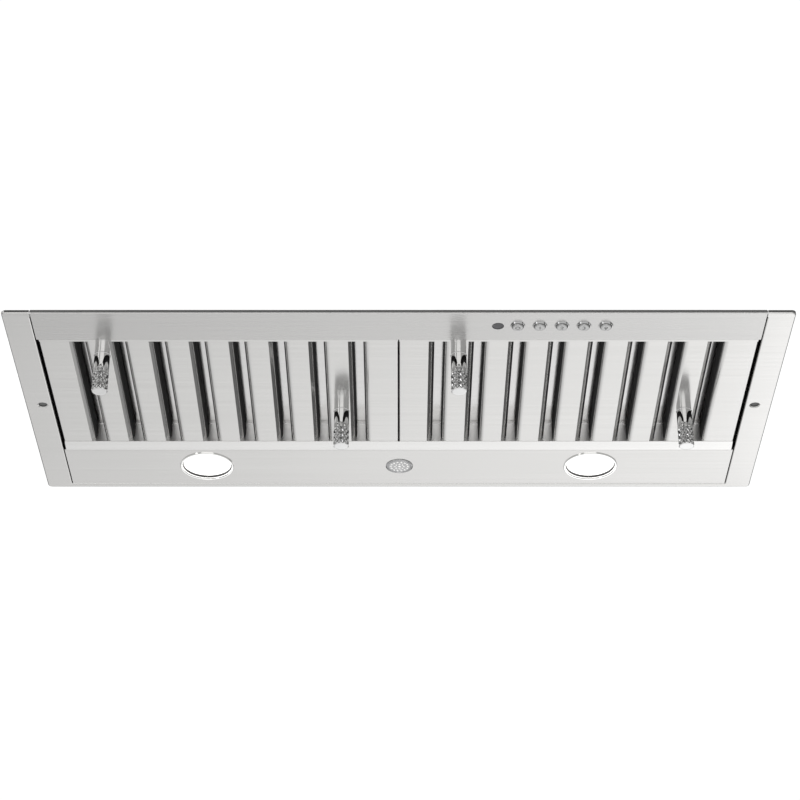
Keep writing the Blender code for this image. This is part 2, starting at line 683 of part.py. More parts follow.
HARNESS_X, HARNESS_Z = -345.0, 20.5
HARNESS_HOLE = (-235.0, 150.0, 0.0)
HARNESS = [
    (180, -160, SWITCH_TOP + 5.2),
    (60, -160, SWITCH_TOP + 5.5),
    (-290, -160, SWITCH_TOP + 5.5),
    (-330, -158, SWITCH_TOP + 7),
    (HARNESS_X, -147, HARNESS_Z),
    (HARNESS_X, -136, 30),
    (HARNESS_X, -90, ceiling(-90) - 12),
    (HARNESS_X, 10, ceiling(10) - 18),
    (HARNESS_X + 10, 60, ROOF - 12),
    (HARNESS_X + 50, 120, ROOF - 12),
    (-255, 147, ROOF - 11),
    (-237, 150, ROOF - 2),
    (HARNESS_HOLE[0], HARNESS_HOLE[1], ROOF + 12),
]
JUNCTION_X, JUNCTION_Y, JUNCTION_HEIGHT = (-300.0, -220.0), (116.0, 180.0), 30.0


def wiring():
    """The junction box on the roof, its cover, gland and terminals, and the harness to the controls."""
    low = ROOF + GAP
    wall = 1.2
    inner_x = (JUNCTION_X[0] + wall, JUNCTION_X[1] - wall)
    inner_y = (JUNCTION_Y[0] + wall, JUNCTION_Y[1] - wall)
    gland_at = (JUNCTION_X[0], sum(JUNCTION_Y) / 2, low + 17)
    steps = cut(
        block(inner_x, inner_y, (low + wall, low + 60)),
        rod(6.3, -10, 10, gland_at, "X", 16),
        rod(5, low - 5, low + 5, HARNESS_HOLE, steps=12),
    )
    box = block(JUNCTION_X, JUNCTION_Y, (low, low + JUNCTION_HEIGHT))
    place("junction_box", shaped(box, steps), "galvanised")
    cover_z = (low + JUNCTION_HEIGHT + GAP, low + JUNCTION_HEIGHT + GAP + wall)
    place("junction_cover", block(JUNCTION_X, JUNCTION_Y, cover_z), "galvanised")
    gland = [(4.5, -18), (8, -18), (10, -4), (10, -GAP), (6, -GAP), (6, 3), (4.5, 3)]
    place("cable_gland", turned(gland, gland_at, "X", 16), "plastic")
    block_y = (JUNCTION_Y[0] + 6, JUNCTION_Y[0] + 24)
    place("terminal_block", block((-285, -240), block_y, (low + wall + GAP, low + 16)), "plastic")
    cable("control_harness", HARNESS, 3.0, 3)


def main():
    for old in list(bpy.data.objects):
        bpy.data.objects.remove(old)
    canopy_shell()
    front_fascia()
    filter_rail()
    lamp_panel()
    buttons()
    switches()
    lamps()
    filters()
    scrolls()
    fan_wheel("fan_wheel_left", -1)
    fan_wheel("fan_wheel_right", 1)
    motor()
    duct()
    wiring()


main()
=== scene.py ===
"""Looks of a built-in range hood insert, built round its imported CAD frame.

Lengths are millimetres in the frame's own axes, and mesh_from() turns them into metres: X runs
along the front, Y to the rear, Z up, and z = 0 is the cabinet's underside.
"""

import math

import bmesh
import bpy
from mathutils import Matrix, Vector


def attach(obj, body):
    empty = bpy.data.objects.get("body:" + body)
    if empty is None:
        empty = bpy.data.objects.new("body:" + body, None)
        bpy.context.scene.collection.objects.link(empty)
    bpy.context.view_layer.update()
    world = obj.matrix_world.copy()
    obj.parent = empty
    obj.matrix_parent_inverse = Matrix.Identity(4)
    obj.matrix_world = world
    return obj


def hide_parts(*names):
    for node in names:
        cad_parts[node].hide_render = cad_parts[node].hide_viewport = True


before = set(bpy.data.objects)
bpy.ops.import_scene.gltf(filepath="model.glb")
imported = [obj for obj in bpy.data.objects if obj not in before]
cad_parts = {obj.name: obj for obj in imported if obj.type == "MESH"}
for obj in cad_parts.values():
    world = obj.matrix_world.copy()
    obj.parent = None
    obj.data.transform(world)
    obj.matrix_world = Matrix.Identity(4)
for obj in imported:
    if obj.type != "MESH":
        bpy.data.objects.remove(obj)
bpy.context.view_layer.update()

MM = 0.001
GAP = 0.3
SHEET = 1.0
BODY = "hood_body"

# Canopy
WIDTH, DEPTH = 868.0, 390.0
LIP = 4.2
FACE = -LIP
CORNER = 5.0
INNER_X = 403.3
FRONT_WALL_Y, REAR_WALL_Y = -187.0, 186.8
ROOF = 150.0
FRONT_WALL_TOP, SLOPE_REAR_Y = 3.5, 36.0
SLOPE = (ROOF - FRONT_WALL_TOP) / (SLOPE_REAR_Y - FRONT_WALL_Y + SHEET)  # rise over run
FLANGE_HOLE = (414.5, -1.0)
HOLE_R, HOLE_MOUTH_R, PLUG_R = 4.9, 6.3, 8.5
RIVET_X = 394  # of the rows of rivets along the slope and the roof
SEAM = 1.0
BEND = 1.6  # outer radius of a fold in the visible sheet
FOOT_TOP = 2.2  # where the flange's turned-up foot ends and the walls start

# Fascia and controls
FASCIA_REAR_Y = -142.2
HEM = 10.0
BUTTON_Y = -170.5
BUTTON_X0, BUTTON_PITCH = 131.0, 24.2
BUTTON_R, BUTTON_PROUD, BUTTON_TOP = 6.3, 3.6, 3.8
BEZEL_R = 8.1
INDICATOR_X, INDICATOR_Y, INDICATOR_R = 109.3, -169.0, 6.4
BUTTON_NAMES = ("off", "speed_1", "speed_2", "speed_3", "lamp")

# Filters
FILTER_EDGE_X, FILTER_WIDTH = 400.1, 399.4
FILTER_FRONT_Y, FILTER_REAR_Y = -140.3, 97.0
FILTER_Z = FACE + SHEET + GAP
SLOT_COUNT, SLOT_PITCH, SLOT_HALF = 8, 44.4, 11.9
FIRST_SLOT = 44.6
SLOT_FRONT_Y, SLOT_REAR_Y = -135.8, 84.5
ROLL = 6.7  # outer radius of the rolled edges along each slot
CREASE_RISE = 5.2  # how far the creased left edge of a slot rises before it turns up
KNEE = 9.0  # radius of that turn
TRAY_SHEET = 0.8
LEG, TRAY_WALL = 21.0, 16.0
LEG_LEAN = 0.76  # least share of X in the normal of a tray face that gets the nearly black leg finish, which is painted shade
END_LEAN = 0.9  # the same for -Y and the faces that close the slots' rear ends, which get the paler end finish, painted light
CAP_HALF, CAP_LOW, CAP_HIGH = 17.0, 7.0, 26.0
KNOB_BARS = ((0, -106.0), (6, 15.3))
KNOB_R, KNOB_NECK_R, KNOB_NECK, KNOB_LENGTH = 9.1, 8.8, 15.2, 46.8
KNURL_STARTS = 10
KNURL_DEPTH = 1.4
KNURL_PITCH = 7.2  # height of one diamond
KNURL_RUN_OUT = 9.5  # height of the long arches where the knurl starts
KNURL_FADE = 1.6  # power by which the grooves deepen over the run-out
KNURL_FLANK = 1.5  # how steep the sides of the grooves are
KNOB_AROUND, KNOB_ALONG = 176, 64  # points round a knob, and rows of faces down its knurl

# Rail and lamp panel
RAIL_FRONT_Y, RAIL_REAR_Y, RAIL_X = 84.5, 102.6, 400.0
RAIL_SHEET = 0.9
PANEL_FRONT_Y, PANEL_REAR_Y, PANEL_LEG = 103.1, 185.8, 24.0
LAMP_X, LAMP_Y, LAMP_R, LENS_R = 233.5, 142.0, 32.5, 28.7
LENS_LOW = FACE + 2.4
BADGE_X, BADGE_R = 0.7, 16.5

# Studio, in metres
CAMERA_AT, CAMERA_TILT = (0.0015, -2.215, -1.3432), 31.3
FLOOR_REACH, FLOOR_Z, FLOOR_GLOW = 30.0, -7.0, 0.5
WORLD_LIGHT, WORLD_SEEN = 0.14, 1.05  # strength that lights the hood, and that the camera sees

# Blower and duct
COLLAR_X, COLLAR_Y = 127.0, (95.0, 177.0)
SCROLL_NEAR_X = 46.0
HARNESS_HOLE = (-235.0, 150.0)


# ---------------------------------------------------------------- finishes


class Finish:
    """A Principled material whose colour, roughness and relief come from node textures."""

    def __init__(self, name, slot, **sockets):
        self.slot = slot
        self.made = bpy.data.materials.new(name)
        self.made.use_nodes = True
        self.nodes, self.links = self.made.node_tree.nodes, self.made.node_tree.links
        self.shader = self.nodes["Principled BSDF"]
        for socket, value in sockets.items():
            self.shader.inputs[socket.replace("_", " ")].default_value = value
        self.where = self.nodes.new("ShaderNodeTexCoord").outputs["Object"]
        self.relief = None

    def stretched(self, stretch):
        mapping = self.nodes.new("ShaderNodeMapping")
        mapping.inputs["Scale"].default_value = stretch
        self.links.new(self.where, mapping.inputs["Vector"])
        return mapping.outputs["Vector"]

    def noise(self, stretch, detail=2.0):
        """Cloudy noise with that many features to a metre along each axis."""
        texture = self.nodes.new("ShaderNodeTexNoise")
        texture.inputs["Scale"].default_value = 1.0
        texture.inputs["Detail"].default_value = detail
        self.links.new(self.stretched(stretch), texture.inputs["Vector"])
        return texture.outputs["Fac"]

    def cells(self, per_metre, output="Color"):
        """Flat or domed cells with that many to a metre."""
        texture = self.nodes.new("ShaderNodeTexVoronoi")
        texture.inputs["Scale"].default_value = per_metre
        self.links.new(self.where, texture.inputs["Vector"])
        if output == "Distance":
            return texture.outputs["Distance"]
        split = self.nodes.new("ShaderNodeSeparateColor")
        self.links.new(texture.outputs["Color"], split.inputs["Color"])
        return split.outputs["Red"]

    def scaled(self, value, low, high, from_low=0.25, from_high=0.75):
        spread = self.nodes.new("ShaderNodeMapRange")
        for socket, number in (
            ("From Min", from_low),
            ("From Max", from_high),
            ("To Min", low),
            ("To Max", high),
        ):
            spread.inputs[socket].default_value = number
        self.links.new(value, spread.inputs["Value"])
        return spread.outputs["Result"]

    def added(self, a, b):
        total = self.nodes.new("ShaderNodeMath")
        self.links.new(a, total.inputs[0])
        self.links.new(b, total.inputs[1])
        return total.outputs["Value"]

    def colour(self, value, dark, light):
        mix = self.nodes.new("ShaderNodeMix")
        mix.data_type = "RGBA"
        mix.inputs[6].default_value = (*dark, 1)
        mix.inputs[7].default_value = (*light, 1)
        self.links.new(self.scaled(value, 0, 1), mix.inputs[0])
        self.links.new(mix.outputs[2], self.shader.inputs["Base Color"])
        return self

    def roughness(self, value):
        self.links.new(value, self.shader.inputs["Roughness"])
        return self

    def bump(self, value, distance, strength=0.5):
        """Adds a layer of relief, distance in metres."""
        layer = self.nodes.new("ShaderNodeBump")
        layer.inputs["Distance"].default_value = distance
        layer.inputs["Strength"].default_value = strength
        self.links.new(value, layer.inputs["Height"])
        if self.relief:
            self.links.new(self.relief, layer.inputs["Normal"])
        self.relief = layer.outputs["Normal"]
        self.links.new(self.relief, self.shader.inputs["Normal"])
        return self

    def tangent_from(self, layer):
        tangent = self.nodes.new("ShaderNodeTangent")
        tangent.direction_type = "UV_MAP"
        tangent.uv_map = layer
        self.links.new(tangent.outputs["Tangent"], self.shader.inputs["Tangent"])
        return self


GRAIN_LAYER = "grain"


def brushed(name, dark, light, rough, grain=(9, 2600, 2600)):
    """Stainless sheet, brushed along X: fine scratches, and a slow wave in the sheet."""
    made = Finish(name, "stainless", Metallic=1.0, Anisotropic=0.7)
    scratches = made.noise(grain, 3.0)
    broad = made.noise((2, 240, 240))
    cloud = made.noise((5, 5, 5))
    made.colour(made.added(made.scaled(scratches, 0, 0.6), made.scaled(broad, 0, 0.4)), dark, light)
    rises = made.scaled(scratches, 0, 0.03)
    made.roughness(made.added(made.scaled(cloud, rough - 0.02, rough), rises))
    made.bump(made.noise((5, 5, 5), 1.0), 0.0004, 0.15)
    made.bump(scratches, 0.000004, 0.1)
    return made.tangent_from(GRAIN_LAYER)


def finishes():
    """Every finish of the hood, by name."""
    made = {
        "stainless": brushed("stainless_brushed", (0.605, 0.60, 0.59), (0.645, 0.64, 0.63), 0.15),
        "fascia": brushed("stainless_fascia", (0.575, 0.57, 0.565), (0.60, 0.595, 0.585), 0.26),
        # Paler than the other stainless: a painted highlight for the light the rail catches.
        "rail": brushed("stainless_rail_painted_light", (0.80, 0.795, 0.785), (0.84, 0.835, 0.825), 0.15),
        "channel": brushed("stainless_channel", (0.62, 0.615, 0.61), (0.66, 0.655, 0.65), 0.18),
        # Paler steel for the faces that close the slots' rear ends: painted light.
        "end": brushed("stainless_end_painted_light", (0.74, 0.735, 0.725), (0.80, 0.795, 0.785), 0.30),
        "inside": brushed("stainless_inside", (0.54, 0.535, 0.53), (0.59, 0.585, 0.575), 0.34),
    }
    # Not steel but nearly black: painted shade for the slots' inner legs, standing in for their shadow and
    # dark reflections.
    shade = Finish("painted_shade_leg", "stainless", Specular_IOR_Level=0.04)
    shade_speckle = shade.noise((9, 900, 900))
    shade.colour(shade_speckle, (0.030, 0.030, 0.030), (0.045, 0.045, 0.045))
    made["leg"] = shade.roughness(shade.scaled(shade_speckle, 0.5, 0.7))

    zinc = Finish("galvanised_sheet", "galvanised", Metallic=1.0)
    flakes = zinc.cells(170)
    zinc.colour(flakes, (0.54, 0.56, 0.57), (0.66, 0.675, 0.685))
    zinc.roughness(zinc.scaled(flakes, 0.36, 0.48))
    zinc.bump(zinc.noise((300, 300, 300)), 0.00005, 0.3)
    made["galvanised"] = zinc

    chrome = Finish("polished_chrome", "chrome", Metallic=1.0)
    haze = chrome.noise((60, 60, 60), 3.0)
    chrome.colour(haze, (0.62, 0.62, 0.62), (0.68, 0.68, 0.675))
    made["chrome"] = chrome.roughness(chrome.scaled(haze, 0.03, 0.08))

    trim = Finish("bright_trim", "chrome", Metallic=1.0)
    haze = trim.noise((60, 60, 60), 3.0)
    trim.colour(haze, (0.88, 0.88, 0.87), (0.93, 0.93, 0.92))
    made["trim"] = trim.roughness(trim.scaled(haze, 0.08, 0.14))

    cap = Finish("satin_chrome", "button", Metallic=1.0)
    haze = cap.noise((900, 900, 900), 3.0)
    cap.colour(haze, (0.42, 0.42, 0.42), (0.48, 0.48, 0.475))
    cap.roughness(cap.scaled(haze, 0.18, 0.28)).bump(haze, 0.00002, 0.3)
    made["button"] = cap

    mark = Finish("enamel_fill", "black_plastic")
    grit = mark.noise((2500, 2500, 2500))
    mark.colour(grit, (0.03, 0.03, 0.03), (0.06, 0.06, 0.06))
    made["mark"] = mark.roughness(mark.scaled(grit, 0.35, 0.55))

    lens = Finish("opal_diffuser", "lens", Emission_Color=(1.0, 0.99, 0.97, 1), Emission_Strength=1.6)
    milk = lens.noise((700, 700, 700))
    lens.colour(milk, (0.90, 0.90, 0.89), (0.97, 0.97, 0.96))
    lens.roughness(lens.scaled(milk, 0.18, 0.30)).bump(milk, 0.00005, 0.2)
    made["lens"] = lens

    smoke = Finish("smoked_light_pipe", "indicator", IOR=1.49)
    speck = smoke.noise((900, 900, 900))
    smoke.colour(speck, (0.035, 0.035, 0.04), (0.07, 0.07, 0.075))
    made["indicator"] = smoke.roughness(smoke.scaled(speck, 0.10, 0.2))

    made["badge"] = turned_metal("turned_badge", "badge", (0.40, 0.40, 0.41), (0.52, 0.52, 0.52), 0.24)
    made["aluminium"] = turned_metal(
        "plain_aluminium", "aluminium", (0.66, 0.67, 0.68), (0.76, 0.76, 0.77), 0.32
    )
    for key, name, slot, dark, light, low in (
        ("plastic", "moulded_black", "black_plastic", (0.022, 0.022, 0.022), (0.04, 0.04, 0.04), 0.42),
        ("fan", "moulded_impeller", "fan_plastic", (0.03, 0.03, 0.034), (0.05, 0.05, 0.055), 0.36),
        ("cable", "cable_sleeve", "cable", (0.018, 0.018, 0.018), (0.035, 0.035, 0.035), 0.50),
        # Nearly black, for the ring round each lamp lens: painted shade for the deep gap there.
        ("baffle", "painted_shade_lamp_gap", "black_plastic", (0.006, 0.006, 0.006), (0.014, 0.014, 0.014), 0.35),
        ("motor", "motor_enamel", "motor", (0.24, 0.25, 0.26), (0.32, 0.33, 0.34), 0.34),
        ("seal", "hole_plug_grey", "black_plastic", (0.10, 0.10, 0.10), (0.15, 0.15, 0.15), 0.60),
    ):
        plain = Finish(name, slot)
        grit = plain.noise((1400, 1400, 1400), 3.0)
        plain.colour(grit, dark, light).roughness(plain.scaled(grit, low, low + 0.14))
        made[key] = plain.bump(grit, 0.00006, 0.35)
    made["motor"].shader.inputs["Metallic"].default_value = 0.4

    board = Finish("solder_mask", "circuit_board", Coat_Weight=0.3)
    tracks = board.cells(260)
    board.colour(tracks, (0.012, 0.11, 0.045), (0.03, 0.24, 0.10))
    made["board"] = board.roughness(board.scaled(tracks, 0.28, 0.42)).bump(tracks, 0.00004, 0.4)
    return made


def turned_metal(name, slot, dark, light, rough):
    """Metal with fine marks from machining."""
    made = Finish(name, slot, Metallic=1.0)
    lines = made.noise((420, 420, 30), 3.0)
    made.colour(lines, dark, light).roughness(made.scaled(lines, rough - 0.06, rough + 0.06))
    return made.bump(lines, 0.00002, 0.3)


FINISH = finishes()


# ---------------------------------------------------------------- meshes


def mesh_from(points, faces):
    """A mesh in metres from points in millimetres, with its faces pointing out."""
    build = bmesh.new()
    corners = [build.verts.new(Vector(point) * MM) for point in points]
    for face in faces:
        build.faces.new([corners[i] for i in face])
    bmesh.ops.recalc_face_normals(build, faces=build.faces)
    mesh = bpy.data.meshes.new("shape")
    build.to_mesh(mesh)
    build.free()
    return mesh


def joined(meshes):
    """Several meshes as one."""
    build = bmesh.new()
    for mesh in meshes:
        build.from_mesh(mesh)
        bpy.data.meshes.remove(mesh)
    result = bpy.data.meshes.new("shape")
    build.to_mesh(result)
    build.free()
    return result


AXIS_ORDER = {"X": (1, 2, 0), "Y": (0, 2, 1), "Z": (0, 1, 2)}


def at(axis, a, b, along):
    point = [0.0, 0.0, 0.0]
    for place, value in zip(AXIS_ORDER[axis], (a, b, along)):
        point[place] = value
    return point


def prism(outline, low, high, axis="Z"):
    """An outline drawn across an axis, extruded along it: (y, z) for X, (x, z) for Y, (x, y) for Z."""
    n = len(outline)
    points = [at(axis, a, b, end) for end in (low, high) for a, b in outline]
    sides = [(i, (i + 1) % n, n + (i + 1) % n, n + i) for i in range(n)]
    return mesh_from(points, [tuple(range(n)), tuple(range(n, 2 * n)), *sides])


def block(x, y, z):
    return prism([(x[0], y[0]), (x[1], y[0]), (x[1], y[1]), (x[0], y[1])], z[0], z[1])


def frustum(base, top, low, high, axis="Z"):
    """Like a prism, with another outline of as many points at its far end."""
    n = len(base)
    points = [at(axis, a, b, low) for a, b in base] + [at(axis, a, b, high) for a, b in top]
    sides = [(i, (i + 1) % n, n + (i + 1) % n, n + i) for i in range(n)]
    return mesh_from(points, [tuple(range(n)), tuple(range(n, 2 * n)), *sides])


def turned(profile, centre, axis="Z", steps=48):
    """A profile of (radius, height) revolved round an axis. It starts and ends on the axis, or it is
    a closed loop away from it."""
    points, rings = [], []
    for radius, height in profile:
        count = steps if radius else 1
        rings.append([len(points) + i for i in range(count)])
        for i in range(count):
            angle = 2 * math.pi * i / steps
            across = (radius * math.cos(angle), radius * math.sin(angle))
            local = {
                "X": (height, *across),
                "Y": (across[1], height, across[0]),
                "Z": (*across, height),
            }[axis]
            points.append(Vector(centre) + Vector(local))
    pairs = list(zip(rings, rings[1:]))
    if profile[0][0]:
        pairs.append((rings[-1], rings[0]))
    faces = []
    for a, b in pairs:
        for i in range(steps):
            j = (i + 1) % steps
            corners = [a[i % len(a)], a[j % len(a)], b[j % len(b)], b[i % len(b)]]
            faces.append(list(dict.fromkeys(corners)))
    return mesh_from(points, faces)


def rod(radius, low, high, centre, axis="Z", steps=32):
    return turned([(0, low), (radius, low), (radius, high), (0, high)], centre, axis, steps)


def softened(profile, radius, steps=3):
    """A profile with its inner corners rounded off."""
    line = [profile[0]]
    for before, corner, after in zip(profile, profile[1:], profile[2:]):
        corner = Vector(corner)
        back, on = Vector(before) - corner, Vector(after) - corner
        size = min(radius, 0.45 * back.length, 0.45 * on.length)
        start, end = corner + back.normalized() * size, corner + on.normalized() * size
        for i in range(steps + 1):
            t = i / steps
            line.append(tuple(start * (1 - t) ** 2 + corner * 2 * t * (1 - t) + end * t * t))
    return [*line, profile[-1]]


def filleted(path, radii, steps=5):
    """(point, left normal) along a path whose corners are arcs."""
    path = [Vector(p) for p in path]
    if not hasattr(radii, "__len__"):
        radii = [radii] * (len(path) - 2)
    first, last = (path[1] - path[0]).normalized(), (path[-1] - path[-2]).normalized()
    line = [(path[0], Vector((-first.y, first.x)))]
    for before, corner, after, radius in zip(path, path[1:], path[2:], radii):
        a, b = (corner - before).normalized(), (after - corner).normalized()
        turn = math.atan2(a.x * b.y - a.y * b.x, a.dot(b))
        side = math.copysign(1, turn)
        normal = Vector((-a.y, a.x))
        centre = corner - a * radius * math.tan(abs(turn) / 2) + normal * radius * side
        for i in range(steps + 1):
            turned_normal = Matrix.Rotation(turn * i / steps, 2) @ normal
            line.append((centre - turned_normal * radius * side, turned_normal))
    return [*line, (path[-1], Vector((-last.y, last.x)))]


def folded(path, low, high, axis="X", thickness=SHEET, radii=BEND, steps=5):
    """Folded sheet: the path of one face, its corners bent, with the thickness on its left (or, if
    negative, its right), extruded along an axis."""
    line = filleted(path, radii, steps)
    section = [p for p, _ in line] + [p + n * thickness for p, n in reversed(line)]
    n, m = len(section), len(line)
    points = [at(axis, a, b, end) for end in (low, high) for a, b in section]
    faces = [(i, (i + 1) % n, n + (i + 1) % n, n + i) for i in range(n)]
    for i in range(m - 1):
        cap = (i, i + 1, n - 2 - i, n - 1 - i)
        faces += [cap, tuple(n + c for c in cap)]
    return mesh_from(points, faces)


def round_box(x, y, radius, z, steps=6):
    """A loop of points round a rectangle with round corners."""
    loop = []
    for cx, cy, start in (
        (x[1] - radius, y[1] - radius, 0),
        (x[0] + radius, y[1] - radius, 90),
        (x[0] + radius, y[0] + radius, 180),
        (x[1] - radius, y[0] + radius, 270),
    ):
        for i in range(steps + 1):
            angle = math.radians(start + 90 * i / steps)
            loop.append((cx + radius * math.cos(angle), cy + radius * math.sin(angle), z))
    return loop


def lofted(loops):
    """A tube of quads through loops of equal length, the last joined to the first."""
    n = len(loops[0])
    points = [p for loop in loops for p in loop]
    faces = []
    for k in range(len(loops)):
        after = (k + 1) % len(loops)
        for i in range(n):
            j = (i + 1) % n
            faces.append((k * n + i, k * n + j, after * n + j, after * n + i))
    return mesh_from(points, faces)


def shaped(base, steps):
    """The mesh left after a row of (operation, mesh) steps, each UNION or DIFFERENCE."""
    target = bpy.data.objects.new("target", base)
    bpy.context.scene.collection.objects.link(target)
    tools = []
    for operation, mesh in steps:
        tool = bpy.data.objects.new("tool", mesh)
        bpy.context.scene.collection.objects.link(tool)
        tools.append(tool)
        modifier = target.modifiers.new("shape", "BOOLEAN")
        modifier.operation = operation
        modifier.solver = "EXACT"
        modifier.object = tool
    bpy.context.view_layer.update()
    graph = bpy.context.evaluated_depsgraph_get()
    result = bpy.data.meshes.new_from_object(target.evaluated_get(graph))
    for helper in (target, *tools):
        bpy.data.objects.remove(helper)
    return result


def cut(*meshes):
    return [("DIFFERENCE", mesh) for mesh in meshes]


# ---------------------------------------------------------------- placing


def lay_grain(mesh):
    """A UV layer whose U runs across the brushing, for the shader's tangent."""
    layer = mesh.uv_layers.new(name=GRAIN_LAYER)
    for face in mesh.polygons:
        sideways = abs(face.normal.x) > 0.3
        for corner in face.loop_indices:
            x, y, z = mesh.vertices[mesh.loops[corner].vertex_index].co
            layer.data[corner].uv = (y, z + x) if sideways else (y + z, x)


def place(name, mesh, finish, stands_for=(), body=BODY, soft_angle=35):
    """Puts a mesh in the scene as a piece that rides on a body and may stand for CAD nodes."""
    mesh.materials.clear()
    mesh.materials.append(FINISH[finish].made)
    if FINISH[finish].slot == "stainless":
        lay_grain(mesh)
    mesh.shade_smooth()
    mesh.set_sharp_from_angle(angle=math.radians(soft_angle))
    piece = bpy.data.objects.new(name, mesh)
    bpy.context.scene.collection.objects.link(piece)
    even = piece.modifiers.new("even normals", "WEIGHTED_NORMAL")
    even.keep_sharp = True
    even.weight = 100
    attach(piece, body)
    if stands_for:
        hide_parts(*stands_for)
    return piece


def keep(finish, *names, edge=0.3):
    """Shows CAD nodes as they are, with a finish and slightly eased edges."""
    for name in names:
        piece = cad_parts[name]
        piece.data.materials.clear()
        piece.data.materials.append(FINISH[finish].made)
        for face in piece.data.polygons:
            face.material_index = 0
        weld = piece.modifiers.new("weld", "WELD")
        weld.merge_threshold = 1e-6
        bevel = piece.modifiers.new("eased edges", "BEVEL")
        bevel.width = edge * MM
        bevel.segments = 2
        bevel.limit_method = "ANGLE"
        bevel.angle_limit = math.radians(50)
        bevel.use_clamp_overlap = True
        even = piece.modifiers.new("even normals", "WEIGHTED_NORMAL")
        even.keep_sharp = True


def domes(places, radius, height, up=(0, 0, 1)):
    """Low round heads, such as rivets, standing on points along one direction."""
    crown = [(0, height), (radius * 0.7, height * 0.85), (radius, 0.2)]
    profile = softened([*crown, (radius, -0.2), (0, -0.2)], 0.5, 2)
    turn = Vector((0, 0, 1)).rotation_difference(Vector(up)).to_matrix().to_4x4()
    made = []
    for where in places:
        head = turned(profile, (0, 0, 0), steps=16)
        head.transform(Matrix.Translation(Vector(where) * MM) @ turn)
        made.append(head)
    return joined(made)


# ---------------------------------------------------------------- canopy


def arc(centre, radius, start, end, steps=5):
    """(offset, height) points along an arc, its angles in degrees."""
    for i in range(steps + 1):
        angle = math.radians(start + (end - start) * i / steps)
        yield centre[0] + radius * math.cos(angle), centre[1] + radius * math.sin(angle)


def flange():
    """The flange with its upturned lip outside and the foot of the walls inside, as one folded ring."""
    loops = []

    def outside(inset, z):
        x, y = WIDTH / 2 - inset, DEPTH / 2 - inset
        loops.append(round_box((-x, x), (-y, y), max(CORNER - inset, 0.6), z))

    def inside(offset, z):
        x = INNER_X + offset
        loops.append(
            round_box((-x, x), (FRONT_WALL_Y - offset, REAR_WALL_Y + offset), 1.5 + offset, z)
        )

    bend_z, top = FACE + BEND, FACE + SHEET
    outside(0.25, 0)
    outside(SHEET - 0.25, 0)
    outside(SHEET, -0.25)
    for offset, z in arc((BEND, bend_z), BEND - SHEET, 180, 270):
        outside(offset, z)
    for offset, z in arc((BEND, bend_z), BEND - SHEET, 270, 180):
        inside(offset, z)
    inside(SHEET, FOOT_TOP)
    inside(0, FOOT_TOP)
    for offset, z in arc((BEND, bend_z), BEND, 180, 270):
        inside(offset, z)
    for offset, z in arc((BEND, bend_z), BEND, 270, 180):
        outside(offset, z)
    outside(0, -0.25)
    steps = cut(
        block((-INNER_X, INNER_X), (-DEPTH, FRONT_WALL_Y - SHEET), (-20, 20)),
        block((-INNER_X, INNER_X), (-DEPTH, FRONT_WALL_Y + 3), (-20, top + GAP)),
    )
    for side in (-1, 1):
        hole = (side * FLANGE_HOLE[0], FLANGE_HOLE[1], 0)
        bore = [
            (0, FACE - 2),
            (HOLE_MOUTH_R, FACE - 2),
            (HOLE_MOUTH_R, FACE),
            (HOLE_R, FACE + 1.0),
            (HOLE_R, FACE + 5),
            (0, FACE + 5),
        ]
        steps += cut(turned(bore, hole, steps=40))
    return shaped(lofted(loops), steps)


def rise(y):
    """Height of the sloping front's outer face at y."""
    return FRONT_WALL_TOP + SLOPE * (y - FRONT_WALL_Y + SHEET)


def wrapper():
    """One sheet folded up the front, back along the slope, along the roof and down the rear."""
    front, rear = FRONT_WALL_Y - SHEET, REAR_WALL_Y + SHEET
    path = [
        (front, FACE + SHEET + GAP),
        (front, rise(front)),
        (SLOPE_REAR_Y, ROOF),
        (rear, ROOF),
        (rear, FOOT_TOP + 0.1),
    ]
    sheet = folded(path, -INNER_X, INNER_X, thickness=-SHEET, radii=(1.5, 3.0, 2.5), steps=6)
    spout_y = (COLLAR_Y[0] + 2, COLLAR_Y[1] - 2)
    steps = cut(rod(6.0, ROOF - 5, ROOF + 5, (*HARNESS_HOLE, 0)))
    for side in (-1, 1):
        spout_x = sorted((side * (SCROLL_NEAR_X + 1), side * (COLLAR_X - 2)))
        steps += cut(block(spout_x, spout_y, (ROOF - 5, ROOF + 5)))
    return shaped(sheet, steps)


def side_panel(side):
    """A flat side wall, its front edge rising with the slope."""
    front, rear = FRONT_WALL_Y - SHEET, REAR_WALL_Y + SHEET
    low = FOOT_TOP + 0.1
    outline = [(front, low), (front, rise(front)), (SLOPE_REAR_Y, ROOF), (rear, ROOF), (rear, low)]
    return prism(outline, *sorted((side * INNER_X, side * (INNER_X + SHEET))), "X")


def on_slope(x, y, lift=0.0):
    """A point on the slope's outer face, and the direction out of it."""
    out = Vector((0, -SLOPE, 1)).normalized()
    return Vector((x, y, rise(y))) + out * lift, out


def emboss(x, along, height=1.3, margin=5.0, radius=14.0):
    """A raised stiffening panel on the slope: x range, and range of length along the slope."""
    base = [(a, b) for a, b, _ in round_box(x, along, radius, 0)]
    top = [
        (a, b)
        for a, b, _ in round_box(
            (x[0] + margin, x[1] - margin), (along[0] + margin, along[1] - margin), radius - margin, 0
        )
    ]
    panel = frustum(base, top, -0.3, height)
    foot, out = on_slope(0, FRONT_WALL_Y)
    tilt = Vector((0, 0, 1)).rotation_difference(out).to_matrix().to_4x4()
    panel.transform(Matrix.Translation(foot * MM) @ tilt)
    return panel


